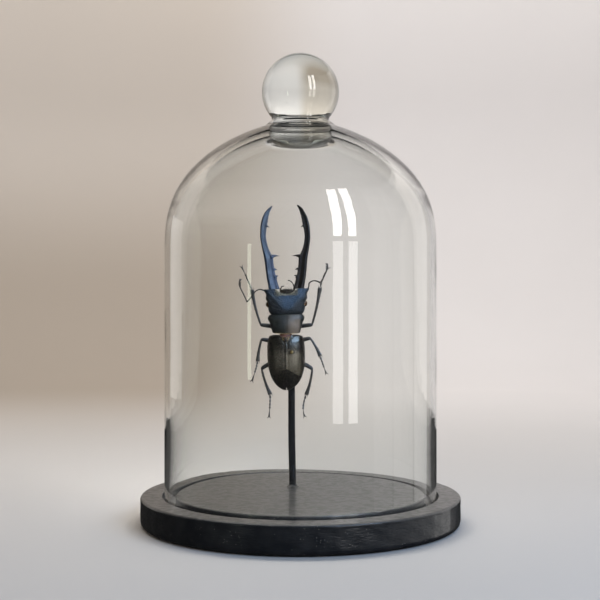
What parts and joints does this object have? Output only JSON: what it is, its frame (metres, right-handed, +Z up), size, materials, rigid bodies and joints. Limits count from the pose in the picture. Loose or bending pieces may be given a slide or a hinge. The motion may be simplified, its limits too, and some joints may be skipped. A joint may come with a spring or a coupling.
{
  "type": "mounted stag beetle in glass dome",
  "caption": "Long-jawed stag beetle pinned upright on a black rod, on a round black wooden base with a ring groove that seats a glass dome with a ball knob.",
  "frame": {"origin": "centre of the base's underside", "axes": "+Z up along the dome's axis; the beetle's back faces -Y and its head points up; +X is to the right as seen from the front"},
  "size_m": [0.142, 0.142, 0.2089],
  "materials": {
    "black_painted_wood": "satin black paint over turned wood, faint grain and hairline cracks, dust and fine scratches",
    "clear_glass": "blown clear glass, faint green where it is thick",
    "gloss_black_rod": "gloss black",
    "black_glue": "dark glue bead",
    "brass_pin": "polished, slightly dull",
    "head_shell": "blue-black chitin, finely rough",
    "left_mandible_shell": "steel-blue sheen on black chitin",
    "right_mandible_shell": "near-black chitin, faint maroon",
    "mouthparts": "dark hairy mouthparts",
    "antenna_shell": "dark brown chitin",
    "chest_shell": "black-brown chitin with green and pink sheen",
    "neck_shell": "red-brown neck and scutellum with golden hairs",
    "wing_cover_shell": "smooth black-brown chitin with an olive sheen",
    "under_shell": "black-brown underside",
    "leg_shell": "black chitin, bluish highlights"
  },
  "bodies": {
    "root": {"wood_base": "black_painted_wood", "glass_dome": "clear_glass", "rod": "gloss_black_rod", "rod_collar": "black_glue", "pin": "brass_pin", "head": "head_shell", "mandible_left": "left_mandible_shell", "mandible_right": "right_mandible_shell", "labrum": "mouthparts", "labium": "mouthparts", "maxilla_left": "mouthparts", "maxilla_right": "mouthparts", "antenna_scape_left": "antenna_shell", "antenna_flagellum_left": "antenna_shell", "elytron_left": "wing_cover_shell", "antenna_scape_right": "antenna_shell", "antenna_flagellum_right": "antenna_shell", "elytron_right": "wing_cover_shell", "prothorax": "chest_shell", "mesothorax": "neck_shell", "metathorax": "under_shell", "abdomen": "under_shell", "coxa_fore_left": "leg_shell", "femur_fore_left": "leg_shell", "tibia_fore_left": "leg_shell", "tarsus_fore_left": "leg_shell", "coxa_fore_right": "leg_shell", "femur_fore_right": "leg_shell", "tibia_fore_right": "leg_shell", "tarsus_fore_right": "leg_shell", "coxa_middle_left": "leg_shell", "femur_middle_left": "leg_shell", "tibia_middle_left": "leg_shell", "tarsus_middle_left": "leg_shell", "coxa_middle_right": "leg_shell", "femur_middle_right": "leg_shell", "tibia_middle_right": "leg_shell", "tarsus_middle_right": "leg_shell", "coxa_hind_left": "leg_shell", "femur_hind_left": "leg_shell", "tibia_hind_left": "leg_shell", "tarsus_hind_left": "leg_shell", "coxa_hind_right": "leg_shell", "femur_hind_right": "leg_shell", "tibia_hind_right": "leg_shell", "tarsus_hind_right": "leg_shell"}
  },
  "joints": []
}
